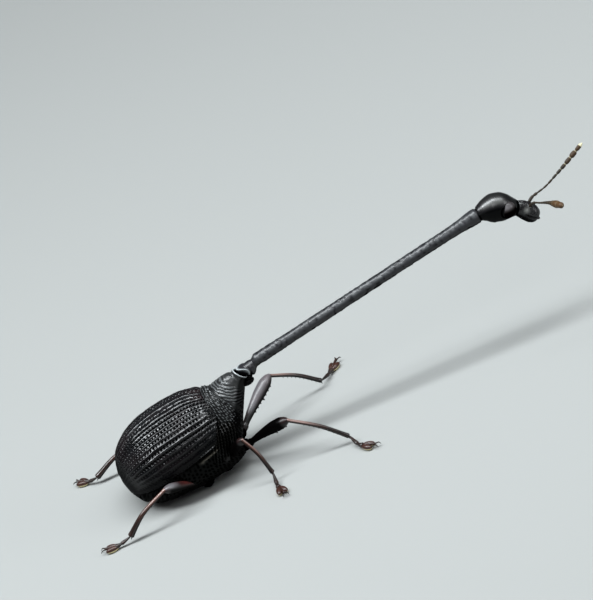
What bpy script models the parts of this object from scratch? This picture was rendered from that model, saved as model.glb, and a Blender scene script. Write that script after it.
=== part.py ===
"""A long-necked giraffe weevil, life size, standing on its six feet.

Lengths are in millimetres and become metres when a mesh is made. +X points forward, +Y to the
animal's left and +Z up, with the floor at zero. Places along the body are measured from the waist,
where the wing cases meet the front of the thorax, and WAIST_X puts the waist in the part's frame.
"""

import math

import bmesh
import bpy
import numpy as np

MM = 0.001
WAIST_X = -6.98
WAIST_Y = -0.02
GAP = 0.3
EYE_GAP = 0.2
RIGHT, LEFT = -1, 1
SIDE_NAMES = {RIGHT: "right", LEFT: "left"}

# Hind body: place, centre height, half width, height above the centre, depth below it.
ELYTRA_LENGTH = 5.84
HIND_BODY = (
    (-ELYTRA_LENGTH, 2.00, 0.06, 0.05, 0.05),
    (-5.76, 2.00, 0.66, 0.44, 0.58),
    (-5.52, 2.00, 1.22, 1.02, 1.18),
    (-5.05, 2.00, 1.84, 1.47, 1.68),
    (-4.45, 1.97, 2.28, 1.90, 1.84),
    (-3.59, 1.96, 2.52, 2.26, 1.86),
    (-2.38, 1.98, 2.56, 2.52, 1.80),
    (-1.47, 2.02, 2.48, 2.58, 1.75),
    (-0.56, 2.10, 2.32, 2.32, 1.76),
    (0.00, 2.16, 2.02, 1.97, 1.78),
    (0.60, 2.24, 1.50, 1.66, 1.70),
)
DORSAL_POWER = 2.1
VENTRAL_POWER = 3.2
SIDE_INSET = 0.96
MARGIN_HEIGHT = 2.28
MARGIN_SLOPE = math.radians(5.7)
ABDOMEN_CUT = -3.25
WAIST_TILT = math.radians(11)
STRIAE = 10
STRIA_DEPTH = 0.035

# Prothorax: place, centre height, tilt, half width, half height.
PROTHORAX = (
    (0.46, 2.84, 11, 1.34, 1.60),
    (0.72, 3.19, 13, 1.20, 1.36),
    (1.02, 3.60, 18, 0.98, 1.05),
    (1.30, 3.99, 26, 0.73, 0.80),
    (1.52, 4.26, 35, 0.53, 0.62),
    (1.66, 4.38, 40, 0.44, 0.50),
    (1.78, 4.44, 43, 0.39, 0.42),
    (1.90, 4.53, 43, 0.43, 0.43),
)
COLLAR_AXIS = math.radians(43)
# The lobe under the collar: its middle, then half its length, width and height.
LOBE = ((2.09, 0, 3.86), 0.34, 0.24, 0.17)

# Neck: the knob that faces the collar, with places from its root, then the straight rod.
NECK_PITCH = math.radians(10.95)
ROD_START = (2.80, 4.84)
ROD_RADIUS = 0.32
KNOB = (
    (0.00, 0.00, 43, 0.36),
    (0.14, -0.09, 24, 0.37),
    (0.28, -0.15, 11, 0.40),
    (0.42, -0.13, 10, 0.40),
    (0.56, -0.03, 12, 0.33),
)
# Along the rod: distance from its start, then how much thicker it is there than its radius.
ROD_SWELL = ((0.0, 0.02), (0.5, 0.0), (3.0, -0.02), (10.0, -0.02), (12.4, 0.01), (13.42, 0.08))

# Head bulb and snout: place, centre height, tilt, half width, half height.
HEAD = (
    (16.26, 7.43, 11, 0.40, 0.40),
    (16.40, 7.45, 6, 0.49, 0.49),
    (16.66, 7.46, -4, 0.64, 0.64),
    (17.00, 7.44, -12, 0.74, 0.74),
    (17.34, 7.35, -18, 0.74, 0.74),
    (17.66, 7.20, -22, 0.64, 0.65),
    (17.88, 7.07, -25, 0.51, 0.52),
    (18.02, 6.97, -28, 0.43, 0.44),
)
SNOUT = (
    (18.22, 6.80, -34, 0.36, 0.42),
    (18.34, 6.70, -38, 0.38, 0.47),
    (18.52, 6.50, -46, 0.40, 0.49),
    (18.69, 6.28, -51, 0.43, 0.47),
    (18.82, 6.11, -54, 0.40, 0.39),
    (18.90, 6.00, -54, 0.30, 0.27),
)
MANDIBLE_LENGTH = 0.12
MANDIBLE_RADIUS = 0.12
EYE_PLACE = (17.62, 7.22)
EYE_RADIUS = 0.34
EYE_REACH = 0.80
EYE_BACK = 0.50
EYE_ROOM = 0.08

# Feelers: root on the snout, then turning points as offsets from the root.
FEELER_ROOT = (18.78, 0.26, 6.90)
FEELER_ROUTES = {
    LEFT: ((0.32, 0.10, 0.05), (0.99, 0.38, 0.08), (1.85, 0.72, 0.31), (3.69, 1.27, 1.08)),
    RIGHT: ((0.16, 0.25, 0.12), (0.46, 0.95, 0.36), (0.85, 1.90, 0.65), (1.34, 3.12, 0.85)),
}
FEELER_RADIUS = 0.25
FEELER_BEADS = 11

# Legs: coxa, knee, shin end, tarsus bend and claw, each as place, distance out and height.
LEGS = {
    ("front", RIGHT): ((0.70, 0.66, 0.86), (3.14, 2.52, 2.33), (5.74, 3.20, 0.42),
                       (6.06, 4.04, 0.18), (6.80, 4.66, 0.15)),
    ("front", LEFT): ((0.70, 0.66, 0.86), (3.16, 2.52, 2.33), (5.56, 3.28, 0.42),
                      (6.12, 4.15, 0.18), (6.72, 5.12, 0.15)),
    ("middle", RIGHT): ((-0.55, 1.10, 0.46), (0.66, 3.00, 2.58), (1.46, 3.62, 0.48),
                        (1.43, 4.40, 0.18), (1.62, 5.52, 0.15)),
    ("middle", LEFT): ((-0.55, 1.10, 0.46), (-1.20, 3.30, 2.36), (-1.62, 3.94, 0.48),
                       (-1.78, 4.60, 0.18), (-1.98, 5.56, 0.15)),
    ("hind", RIGHT): ((-1.90, 1.60, 0.46), (-3.90, 3.34, 1.88), (-6.44, 3.63, 0.38),
                      (-7.16, 3.66, 0.18), (-7.90, 3.52, 0.15)),
    ("hind", LEFT): ((-2.05, 1.50, 0.42), (-4.05, 3.40, 1.45), (-7.12, 3.42, 0.38),
                     (-7.60, 3.72, 0.18), (-8.16, 4.14, 0.15)),
}
COXA_RADIUS = 0.34
COXA_DEPTH = 0.22
COXA_TOP = {"front": 1.28, "middle": 0.92, "hind": 0.86}
POCKET_ROOM = 0.18
THIGH_ROOM = 0.14
UNDER_FLOOR = -1.0
FEMUR_CLUB = {"front": 0.36, "middle": 0.31, "hind": 0.31}
FEMUR_THIN = 0.25
# The thigh's radius along it, as a share of the club.
FEMUR_SHAPE = (0.72, 0.66, 0.66, 0.70, 0.76, 0.86, 0.93, 0.98, 1.0, 0.88, 0.70)
FEMUR_TEETH = 8
TOOTH_SIZE = 0.12
BIG_TOOTH_SIZE = 0.20
SHIN_RADIUS = 0.25
SHIN_BOW = {"front": (0.10, 0.05, 0.12), "middle": (0.10, 0.05, 0.12), "hind": (-0.16, 0.05, 0.16)}
# The shin's radius along it, as a share of its own.
SHIN_SHAPE = (0.9, 1.0, 1.0, 0.98, 0.98, 0.98, 1.0, 1.04, 1.12, 1.1)
FOOT_RADIUS = 0.23
# The foot's radius along its four joints, as a share of its own.
FOOT_SHAPE = (0.8, 0.9, 1.0, 1.05, 1.1, 0.75, 0.9, 1.05, 1.1, 0.75, 1.0, 1.2, 1.25, 1.15, 0.7, 0.62, 0.4)
CLAW_LENGTH = 0.34
CLAW_RADII = (0.09, 0.07, 0.02)

SHELL = ("glossy black wing case", (0.012, 0.013, 0.014), 0.28)
BODY = ("black body plate", (0.014, 0.014, 0.013), 0.38)
NECK = ("black neck", (0.016, 0.017, 0.018), 0.34)
EYE = ("grey eye", (0.03, 0.032, 0.035), 0.15)
SHANK = ("red brown leg", (0.045, 0.016, 0.008), 0.32)
FEELER = ("brown feeler", (0.09, 0.045, 0.016), 0.40)


def clear_scene():
    for item in list(bpy.data.objects):
        bpy.data.objects.remove(item, do_unlink=True)


def finish_material(look):
    name, colour, roughness = look
    made = bpy.data.materials.get(name)
    if made is None:
        made = bpy.data.materials.new(name)
        made.use_nodes = True
        shader = made.node_tree.nodes["Principled BSDF"]
        shader.inputs["Base Color"].default_value = (*colour, 1)
        shader.inputs["Roughness"].default_value = roughness
        shader.inputs["Metallic"].default_value = 0
    return made


def eased(table, count):
    """Rows between the stations of a table, each column a curve through its own stations."""
    rows = np.array(table, float)
    steps = np.linalg.norm(np.diff(rows[:, :2], axis=0), axis=1)
    along = np.concatenate([[0], np.cumsum(steps)])
    slope = np.diff(rows, axis=0) / np.diff(along)[:, None]
    tangent = np.zeros_like(rows)
    tangent[0], tangent[-1] = slope[0], slope[-1]
    both = slope[:-1] * slope[1:] > 0
    mean = 2 * slope[:-1] * slope[1:] / np.where(both, slope[:-1] + slope[1:], 1)
    tangent[1:-1] = np.where(both, mean, 0)
    at = np.interp(np.linspace(0, len(rows) - 1, count), np.arange(len(rows)), along)
    cell = np.clip(np.searchsorted(along, at, side="right") - 1, 0, len(steps) - 1)
    width = steps[cell][:, None]
    t = (at - along[cell])[:, None] / width
    ease_in = (1 + 2 * t) * (1 - t) ** 2 * rows[cell] + t * (1 - t) ** 2 * width * tangent[cell]
    ease_out = t**2 * (3 - 2 * t) * rows[cell + 1] - t**2 * (1 - t) * width * tangent[cell + 1]
    return ease_in + ease_out


def rounded(angle, power):
    """Cosine and sine of an angle, swollen towards a square by the power."""
    cosine, sine = np.cos(angle), np.sin(angle)
    swell = 2 / power
    return np.sign(cosine) * abs(cosine) ** swell, np.sign(sine) * abs(sine) ** swell


def cross_rings(place, height, tilt, half_width, up, down, angle, power_up, power_down):
    """Rings across the body, one for each row, tilted in the plane of symmetry."""
    above = np.sin(angle) >= 0
    wide_up, high_up = rounded(angle, power_up)
    wide_down, high_down = rounded(angle, power_down)
    across = half_width[:, None] * np.where(above, wide_up, wide_down)
    lift = np.where(above, up[:, None] * high_up, down[:, None] * high_down)
    x = place[:, None] - np.sin(tilt)[:, None] * lift
    z = height[:, None] + np.cos(tilt)[:, None] * lift
    return np.stack([x, across, z], axis=-1)


def skin(rings):
    """A closed mesh through rings of equal count, with a flat cap at each end."""
    mesh = bmesh.new()
    rows = [[mesh.verts.new(point) for point in ring] for ring in rings]
    count = len(rows[0])
    for low, high in zip(rows, rows[1:]):
        for i in range(count):
            j = (i + 1) % count
            mesh.faces.new((low[i], low[j], high[j], high[i]))
    mesh.faces.new(rows[0][::-1])
    mesh.faces.new(rows[-1])
    bmesh.ops.recalc_face_normals(mesh, faces=mesh.faces)
    return mesh


def keep_side(mesh, point, outward):
    """Cuts away what lies on the outward side of a plane and closes the cut."""
    geometry = list(mesh.verts) + list(mesh.edges) + list(mesh.faces)
    bmesh.ops.bisect_plane(mesh, geom=geometry, plane_co=point, plane_no=outward, clear_outer=True)
    rim = [edge for edge in mesh.edges if edge.is_boundary]
    bmesh.ops.holes_fill(mesh, edges=rim, sides=0)
    bmesh.ops.recalc_face_normals(mesh, faces=mesh.faces)


def tube(path, radii, sides, flatten=1.0):
    """Rings across a path of points, made narrower or wider up and down by the flatten factor."""
    path = np.array(path, float)
    radii = np.array(radii, float)
    along = np.gradient(path, axis=0)
    along /= np.linalg.norm(along, axis=1)[:, None]
    up = np.array([1.0, 0, 0]) if abs(along[:, 2]).max() > 0.9 else np.array([0, 0, 1.0])
    aside = np.cross(along, up)
    aside /= np.linalg.norm(aside, axis=1)[:, None]
    lift = np.cross(aside, along)
    angle = np.linspace(0, 2 * math.pi, sides, endpoint=False)
    reach = radii[:, None, None]
    circle = np.cos(angle)[None, :, None] * aside[:, None, :]
    circle = circle + flatten * np.sin(angle)[None, :, None] * lift[:, None, :]
    return path[:, None, :] + reach * circle


def curve(points, count):
    """Points along a smooth curve through a few given ones."""
    return eased(points, count) if len(points) > 2 else np.linspace(*np.array(points, float), count)


def finished(mesh, name, look):
    """Turns a mesh in millimetres from the waist into a named object in the part's frame."""
    for vertex in mesh.verts:
        vertex.co.x += WAIST_X
        vertex.co.y += WAIST_Y
        vertex.co *= MM
    data = bpy.data.meshes.new(name)
    mesh.to_mesh(data)
    mesh.free()
    data.shade_smooth()
    data.set_sharp_from_angle(angle=math.radians(40))
    item = bpy.data.objects.new(name, data)
    item.data.materials.append(finish_material(look))
    bpy.context.scene.collection.objects.link(item)
    return item


def apply_boolean(item, operation, others):
    """Joins meshes to an object, or cuts them from it, in one Boolean, and keeps the largest body."""
    group = bpy.data.collections.new("tools")
    bpy.context.scene.collection.children.link(group)
    tools = []
    for number, mesh in enumerate(others):
        tool = finished(mesh, f"{item.name}_tool_{number}", BODY)
        tool.display_type = "WIRE"
        tool.hide_render = True
        bpy.context.scene.collection.objects.unlink(tool)
        group.objects.link(tool)
        tools.append(tool)
    modifier = item.modifiers.new(operation.lower(), "BOOLEAN")
    modifier.operation = operation
    modifier.operand_type = "COLLECTION"
    modifier.collection = group
    modifier.solver = "EXACT"
    bpy.context.view_layer.update()
    graph = bpy.context.evaluated_depsgraph_get()
    data = bpy.data.meshes.new_from_object(item.evaluated_get(graph))
    item.modifiers.clear()
    item.data = data
    for tool in tools:
        bpy.data.objects.remove(tool, do_unlink=True)
    bpy.data.collections.remove(group)
    keep_largest(data)
    return item


def keep_largest(data):
    """Deletes all but the largest closed surface of a mesh."""
    mesh = bmesh.new()
    mesh.from_mesh(data)
    unseen = set(mesh.verts)
    islands = []
    while unseen:
        front = [unseen.pop()]
        island = list(front)
        while front:
            near = {edge.other_vert(vert) for vert in front for edge in vert.link_edges}
            front = list(near & unseen)
            unseen -= near
            island += front
        islands.append(island)
    islands.sort(key=len)
    for island in islands[:-1]:
        bmesh.ops.delete(mesh, geom=island, context="VERTS")
    mesh.to_mesh(data)
    mesh.free()


def waist_plane(offset):
    """A point on the tilted plane of the waist, moved forward by the offset, and its normal."""
    normal = (math.cos(WAIST_TILT), 0, math.sin(WAIST_TILT))
    base = (0.30 + offset * normal[0], 0, 2.8 + offset * normal[2])
    return base, normal


def margin_plane(offset, way=1):
    """A point on the plane of the wing cases' lower edge, moved up by the offset, and its normal."""
    normal = np.array([-math.sin(MARGIN_SLOPE), 0, math.cos(MARGIN_SLOPE)])
    return np.array([0, 0, MARGIN_HEIGHT]) + offset * normal, way * normal


def make_elytron(side):
    """One wing case: the upper half of the hind body, grooved lengthwise by ten rows."""
    rows = eased(HIND_BODY, 30)
    angle = np.linspace(-0.2 * math.pi, 1.2 * math.pi, 8 * STRIAE + 13)
    rings = cross_rings(*rows[:, :2].T, np.zeros(len(rows)), *rows[:, 2:].T, angle, DORSAL_POWER, 2)
    from_side = np.minimum(abs(angle), abs(math.pi - angle)) / (math.pi / 2)
    groove = STRIA_DEPTH * np.cos(2 * math.pi * (STRIAE * from_side + 0.5))
    groove *= (angle > 0) & (angle < math.pi)
    size = np.minimum(rows[:, 2] / 2.0, 1)[:, None]
    centre = np.stack([rows[:, 0], 0 * rows[:, 0], rows[:, 1]], axis=-1)[:, None, :]
    spoke = rings - centre
    length = np.linalg.norm(spoke, axis=-1, keepdims=True)
    rings = rings - spoke / length * (groove * size)[..., None]
    mesh = skin(rings)
    keep_side(mesh, *margin_plane(GAP / 2, -1))
    keep_side(mesh, *waist_plane(-GAP / 2))
    keep_side(mesh, (0, side * GAP / 2, 0), (0, -side, 0))
    return finished(mesh, f"elytron_{SIDE_NAMES[side]}", SHELL)


def make_underbody():
    """Thorax and abdomen under the wing cases, parted behind the hind legs."""
    for name, inner, outward in (("thorax", ABDOMEN_CUT + GAP / 2, -1), ("abdomen", ABDOMEN_CUT - GAP / 2, 1)):
        rows = eased(HIND_BODY, 22)
        angle = np.linspace(0, 2 * math.pi, 40, endpoint=False)
        rows[:, 2] *= SIDE_INSET
        level = np.zeros(len(rows))
        rings = cross_rings(*rows[:, :2].T, level, *rows[:, 2:].T, angle, DORSAL_POWER, VENTRAL_POWER)
        mesh = skin(rings)
        keep_side(mesh, *margin_plane(-GAP / 2))
        keep_side(mesh, *waist_plane(-GAP / 2))
        keep_side(mesh, (inner, 0, 0), (outward, 0, 0))
        item = finished(mesh, name, BODY)
        near = [key for key in LEGS if name == "thorax" or key[0] == "hind"]
        hollows = [coxa_pocket(*key) for key in near] if name == "thorax" else []
        apply_boolean(item, "DIFFERENCE", hollows + [thigh_room(*key) for key in near])


def make_body_piece(name, stations, look, count, sides, power=2.0):
    """A solid of revolution-like rings that follow stations bent in the plane of symmetry."""
    rows = eased(stations, count)
    angle = np.linspace(0, 2 * math.pi, sides, endpoint=False)
    tilt = np.radians(rows[:, 2])
    rings = cross_rings(rows[:, 0], rows[:, 1], tilt, rows[:, 3], rows[:, 4], rows[:, 4], angle, power, power)
    return finished(skin(rings), name, look)


def make_prothorax():
    item = make_body_piece("prothorax", PROTHORAX, BODY, 20, 36)
    apply_boolean(item, "DIFFERENCE", [coxa_pocket("front", side) for side in (RIGHT, LEFT)])
    middle, half_length, half_width, half_height = LOBE
    rise = np.linspace(-0.45, 0.45, 9) * math.pi
    path = np.array(middle) + np.sin(rise)[:, None] * (half_length, 0, 0)
    lobe = skin(tube(path, half_width * np.cos(rise), 14, half_height / half_width))
    apply_boolean(item, "UNION", [lobe])


def make_neck():
    """The knob in the collar, then the straight rod, slightly thicker at both ends."""
    root = np.array(PROTHORAX[-1][:2]) + GAP * np.array([math.cos(COLLAR_AXIS), math.sin(COLLAR_AXIS)])
    knob = [(root[0] + dx, root[1] + dz, tilt, radius, radius) for dx, dz, tilt, radius in KNOB]
    pitch = math.degrees(NECK_PITCH)
    rod = [
        (
            ROD_START[0] + length * math.cos(NECK_PITCH),
            ROD_START[1] + length * math.sin(NECK_PITCH),
            pitch,
            ROD_RADIUS + swell,
            ROD_RADIUS + swell,
        )
        for length, swell in ROD_SWELL
    ]
    make_body_piece("neck", knob + rod, NECK, 33, 20)


def make_head():
    item = make_body_piece("head", HEAD, NECK, 22, 28)
    cutters = []
    for side in (RIGHT, LEFT):
        x, z = EYE_PLACE
        path = [(x, side * (EYE_BACK - EYE_GAP), z), (x, side * 1.2, z)]
        cutters.append(skin(tube(path, [EYE_RADIUS + EYE_ROOM] * 2, 20)))
        make_eye(side)
    apply_boolean(item, "DIFFERENCE", cutters)


def make_eye(side):
    """A domed eye with a flat back, sunk in its socket."""
    x, z = EYE_PLACE
    rise = np.linspace(0, math.pi / 2, 7)[:-1]
    depth = EYE_REACH - EYE_BACK
    path = [(x, side * (EYE_BACK + depth * math.sin(a)), z) for a in rise]
    radii = [EYE_RADIUS * math.cos(a) for a in rise]
    finished(skin(tube(path, radii, 18)), f"eye_{SIDE_NAMES[side]}", EYE)


def make_snout():
    """The short snout, bent down, with two jaws and the cleft of the mouth between them."""
    item = make_body_piece("rostrum", SNOUT, NECK, 16, 26)
    tip = np.array([SNOUT[-1][0], 0, SNOUT[-1][1]])
    pitch = math.radians(SNOUT[-1][2])
    ahead = np.array([math.cos(pitch), 0, math.sin(pitch)])
    jaws = []
    for side in (RIGHT, LEFT):
        root = tip - 0.12 * ahead + np.array([0, side * 0.15, 0])
        point = tip + MANDIBLE_LENGTH * ahead + np.array([0, side * 0.05, 0])
        path = curve([root, (root + point) / 2 + np.array([0, side * 0.05, 0]), point], 5)
        jaws.append(skin(tube(path, MANDIBLE_RADIUS * np.array([1, 1, 0.9, 0.7, 0.3]), 8)))
    apply_boolean(item, "UNION", jaws)


def make_feeler(side):
    """A feeler of beads along its route, swelling to the club near its end."""
    root = np.array(FEELER_ROOT)
    points = [root + np.array(offset) for offset in FEELER_ROUTES[side]]
    count = 4 * FEELER_BEADS + 1
    path = curve(points, count)
    path[:, 1] *= side
    along = np.linspace(0, 1, count)
    bead = 1 - 0.12 * np.cos(2 * math.pi * FEELER_BEADS * along)
    club = 1 + 0.18 * np.clip((along - 0.66) / 0.1, 0, 1)
    tip = np.sqrt(np.clip((1.004 - along) / 0.12, 0.02, 1))
    radii = FEELER_RADIUS * bead * club * tip * np.clip(0.8 + along, 0, 1)
    finished(skin(tube(path, radii, 8)), f"antenna_{SIDE_NAMES[side]}", FEELER)


def coxa_axis(place, side, grow=0.0):
    """The upright axis of a hip joint, from under the first point of the leg to its flat top."""
    x, out, z = LEGS[place, side][0]
    return [(x, side * out, z - COXA_DEPTH), (x, side * out, COXA_TOP[place] + grow)]


def coxa_pocket(place, side):
    """The hollow that holds a hip joint and the first stretch of the thigh, with a gap all round."""
    foot, top = coxa_axis(place, side, GAP)
    path = [(foot[0], foot[1], UNDER_FLOOR), top]
    return skin(tube(path, [COXA_RADIUS + POCKET_ROOM] * 2, 20))


def thigh_room(place, side):
    """The space along a thigh that the body leaves free, round the club and a little more."""
    hip, knee = leg_points(place, side)[:2]
    start = hip - 0.1 * (knee - hip)
    return skin(tube([start, knee], [FEMUR_CLUB[place] + THIGH_ROOM] * 2, 16))


def leg_points(place, side):
    return [np.array([x, side * out, z]) for x, out, z in LEGS[place, side]]


def make_leg(place, side):
    """One leg from the hip to the claws, its pieces fused and its sole flat on the floor."""
    hip, knee, shin_end, bend, claw = leg_points(place, side)
    pieces = [skin(tube(coxa_axis(place, side), [COXA_RADIUS] * 2, 16))]
    club = np.maximum(FEMUR_CLUB[place] * np.array(FEMUR_SHAPE), FEMUR_THIN)
    pieces.append(skin(tube(curve([hip, knee], len(club)), club, 12)))
    bow = (knee + shin_end) / 2 + np.array(SHIN_BOW[place]) * (1, side, 1)
    shin = curve([knee - 0.05 * (shin_end - knee), bow, shin_end], len(SHIN_SHAPE))
    pieces.append(skin(tube(shin, SHIN_RADIUS * np.array(SHIN_SHAPE), 10)))
    pieces.append(make_tarsus(shin_end, bend, claw))
    ahead = (claw - bend) / np.linalg.norm(claw - bend)
    aside = np.array([-ahead[1], ahead[0], 0])
    for way in (-1, 1):
        root = claw - 0.10 * ahead + way * 0.06 * aside
        tip = claw + CLAW_LENGTH * ahead + way * 0.14 * aside - np.array([0, 0, 0.05])
        pieces.append(skin(tube([root, (root + tip) / 2 + way * 0.05 * aside, tip], CLAW_RADII, 6)))
    if place == "front":
        pieces += femur_teeth(hip, knee)
    first, *rest = pieces
    item = finished(first, f"leg_{place}_{SIDE_NAMES[side]}", SHANK)
    apply_boolean(item, "UNION", rest)
    level_sole(item)


def make_tarsus(shin_end, bend, claw):
    """The four foot joints: a string of lobes, flatter than they are wide."""
    path = curve([shin_end, bend, claw], len(FOOT_SHAPE))
    return skin(tube(path, FOOT_RADIUS * np.array(FOOT_SHAPE), 10, flatten=0.9))


def femur_teeth(hip, knee):
    """A row of small teeth along the lower front edge of the front thigh."""
    along = (knee - hip) / np.linalg.norm(knee - hip)
    under = np.array([0.55, 0, -1.0])
    under -= along * under.dot(along)
    under /= np.linalg.norm(under)
    teeth = []
    for number in range(FEMUR_TEETH):
        share = 0.38 + 0.48 * number / (FEMUR_TEETH - 1)
        root = hip + share * (knee - hip) + 0.20 * under
        size = BIG_TOOTH_SIZE if number == FEMUR_TEETH // 2 else TOOTH_SIZE
        path = [root, root + (size + 0.10) * under]
        teeth.append(skin(tube(path, [0.09, 0.03], 6)))
    return teeth


def level_sole(item):
    """Cuts a foot level with the floor, so that it rests on small flats."""
    mesh = bmesh.new()
    mesh.from_mesh(item.data)
    keep_side(mesh, (0, 0, 0), (0, 0, -1))
    mesh.to_mesh(item.data)
    mesh.free()


def main():
    clear_scene()
    make_underbody()
    for side in (RIGHT, LEFT):
        make_elytron(side)
        make_feeler(side)
    make_prothorax()
    make_neck()
    make_head()
    make_snout()
    for place, side in LEGS:
        make_leg(place, side)


main()
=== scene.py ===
"""A long-necked giraffe weevil, life size, in its finished skin.

Lengths are in millimetres and become metres when a mesh is made. +X points forward, +Y to the
animal's left and +Z up, with the floor at zero. Places along the body are measured from the waist,
where the wing cases meet the front of the thorax, on the animal's plane of symmetry.
"""

import math

import bpy
import numpy as np
from mathutils import Matrix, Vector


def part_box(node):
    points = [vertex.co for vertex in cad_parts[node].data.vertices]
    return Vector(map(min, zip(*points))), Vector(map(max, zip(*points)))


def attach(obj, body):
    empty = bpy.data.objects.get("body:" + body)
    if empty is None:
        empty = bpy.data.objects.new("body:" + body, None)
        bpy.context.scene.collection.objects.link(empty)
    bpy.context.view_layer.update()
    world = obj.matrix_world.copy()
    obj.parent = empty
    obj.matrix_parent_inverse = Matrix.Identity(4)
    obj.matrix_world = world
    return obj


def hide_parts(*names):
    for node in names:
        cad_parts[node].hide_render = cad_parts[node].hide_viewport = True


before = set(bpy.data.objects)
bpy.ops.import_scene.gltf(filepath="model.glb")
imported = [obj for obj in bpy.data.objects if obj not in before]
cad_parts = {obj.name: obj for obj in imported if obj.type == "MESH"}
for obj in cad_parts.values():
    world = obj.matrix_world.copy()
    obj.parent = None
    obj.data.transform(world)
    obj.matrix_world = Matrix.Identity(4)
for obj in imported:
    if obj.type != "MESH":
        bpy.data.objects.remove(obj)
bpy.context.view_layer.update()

MM = 0.001
RIGHT, LEFT = -1, 1
SIDE_NAMES = {RIGHT: "right", LEFT: "left"}

# Hind body: place, centre height, half width, height above the centre, depth below it.
HIND_BODY = (
    (-5.84, 2.00, 0.06, 0.05, 0.05),
    (-5.76, 2.00, 0.66, 0.44, 0.58),
    (-5.52, 2.00, 1.22, 1.02, 1.18),
    (-5.05, 2.00, 1.84, 1.47, 1.68),
    (-4.45, 1.97, 2.28, 1.90, 1.84),
    (-3.59, 1.96, 2.52, 2.26, 1.86),
    (-2.38, 1.98, 2.56, 2.52, 1.80),
    (-1.47, 2.02, 2.48, 2.58, 1.75),
    (-0.56, 2.10, 2.32, 2.32, 1.76),
    (0.00, 2.16, 2.02, 1.97, 1.78),
    (0.60, 2.24, 1.50, 1.66, 1.70),
)
DORSAL_POWER = 2.1
VENTRAL_POWER = 3.2

# Wing cases: the rows of pits lie in planes through one axis, which runs down to the rear apex.
CASE_AXIS_FRONT = (0.0, 2.40)
CASE_APEX = (-5.50, 1.00)
CASE_HUB = -3.30
CASE_FRONT = -0.15
CASE_SHOULDER_ANGLE = 46.0
CASE_SIDE_RETREAT = 0.80
CASE_MARGIN_ANGLE = 5.5
SUTURE_ANGLE = 90.0
RIDGE_ANGLES = (96.5, 90.0, 84.0, 77.3, 71.0, 65.0, 59.2, 54.4,
                49.8, 44.0, 37.5, 31.0, 24.5, 18.0, 11.5, 5.0)
SHARP_RIDGE = 10.0
CALLUS = (-0.56, 48.0)
CORNER_REAR = CASE_HUB - 1.4
PIT_SPACING = 0.19
PIT_DEPTH = 0.050
RIDGE_HEIGHT = 0.030
UNDER_CASES = 0.07

# Underbody: seams of the belly, a shiny knob and a seam above the middle hip, and columns of pits.
BELLY_SEAMS = (-3.45, -4.05, -4.55, -5.0)
HIP_KNOB = (-0.39, 1.47)
CHEST_SEAM = (-0.02, 2.0, 0.28)
COLUMN_SPACING = 0.17
COLUMN_LEAN = 1.7
LOOSE_PIT_SPACING = 0.21
FLOOR_CLEARANCE = 0.10

# Prothorax: place, centre height, tilt, half width, half height.
PROTHORAX = (
    (-0.12, 2.58, 8, 0.90, 1.50),
    (-0.02, 2.64, 8, 1.30, 1.80),
    (0.06, 2.70, 8, 1.38, 1.88),
    (0.20, 2.76, 10, 1.34, 1.83),
    (0.45, 2.84, 11, 1.34, 1.62),
    (0.71, 3.18, 13, 1.20, 1.37),
    (1.01, 3.60, 18, 0.98, 1.07),
    (1.30, 3.99, 26, 0.73, 0.81),
    (1.52, 4.26, 35, 0.53, 0.63),
    (1.66, 4.39, 40, 0.43, 0.51),
    (1.76, 4.43, 43, 0.38, 0.43),
    (1.82, 4.47, 43, 0.39, 0.42),
    (1.89, 4.53, 43, 0.43, 0.43),
    (1.93, 4.56, 43, 0.41, 0.41),
)
COLLAR_CUP = (
    (1.92, 4.55, 43, 0.37, 0.37),
    (1.88, 4.51, 43, 0.34, 0.34),
    (1.78, 4.42, 42, 0.30, 0.30),
    (1.70, 4.35, 42, 0.24, 0.24),
)
LOBE = ((2.10, 0.0, 3.91), (1.0, 0.0, 0.12), 0.37, 0.26, 0.19)
LOBE_ROOT = ((2.26, 0.0, 4.13), (1.0, 0.0, 0.3), 0.20, 0.20, 0.15)
WART = (0.81, 3.53)
WART_WIDTH = 0.07
GROOVE_TOP = (0.13, 4.50)
GROOVE_SLOPE = 1.1
RIB_FOOT = (2.0, 0.9)
BEAD_SPACING = (0.19, 0.15)
SIDE_PIT_SPACING = 0.17
WRINKLE_LEAN = math.radians(62)
WRINKLE_SPACING = 0.145

# Neck: the knob that sits in the collar, as place, centre height, tilt and radius, then the rod.
NECK_PITCH = math.radians(10.95)
ROD_START = (2.80, 4.84)
ROD_LENGTH = 13.50
KNOB = (
    (1.72, 4.34, 42, 0.18),
    (1.88, 4.44, 42, 0.20),
    (2.00, 4.50, 42, 0.25),
    (2.05, 4.53, 42, 0.35),
    (2.09, 4.55, 42, 0.385),
    (2.15, 4.56, 36, 0.355),
    (2.25, 4.56, 24, 0.335),
    (2.38, 4.55, 12, 0.375),
    (2.52, 4.57, 10, 0.395),
    (2.66, 4.65, 12, 0.34),
    (2.76, 4.73, 13, 0.27),
    (2.83, 4.79, 13, 0.27),
)
FLANGE_NOTCH = 0.28
# The rod's distance along its axis and radius.
ROD = (
    (0.16, 0.31),
    (0.5, 0.325),
    (1.2, 0.315),
    (3.0, 0.30),
    (8.0, 0.295),
    (11.0, 0.30),
    (12.4, 0.325),
    (13.3, 0.395),
    (13.52, 0.40),
    (13.62, 0.33),
)

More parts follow.
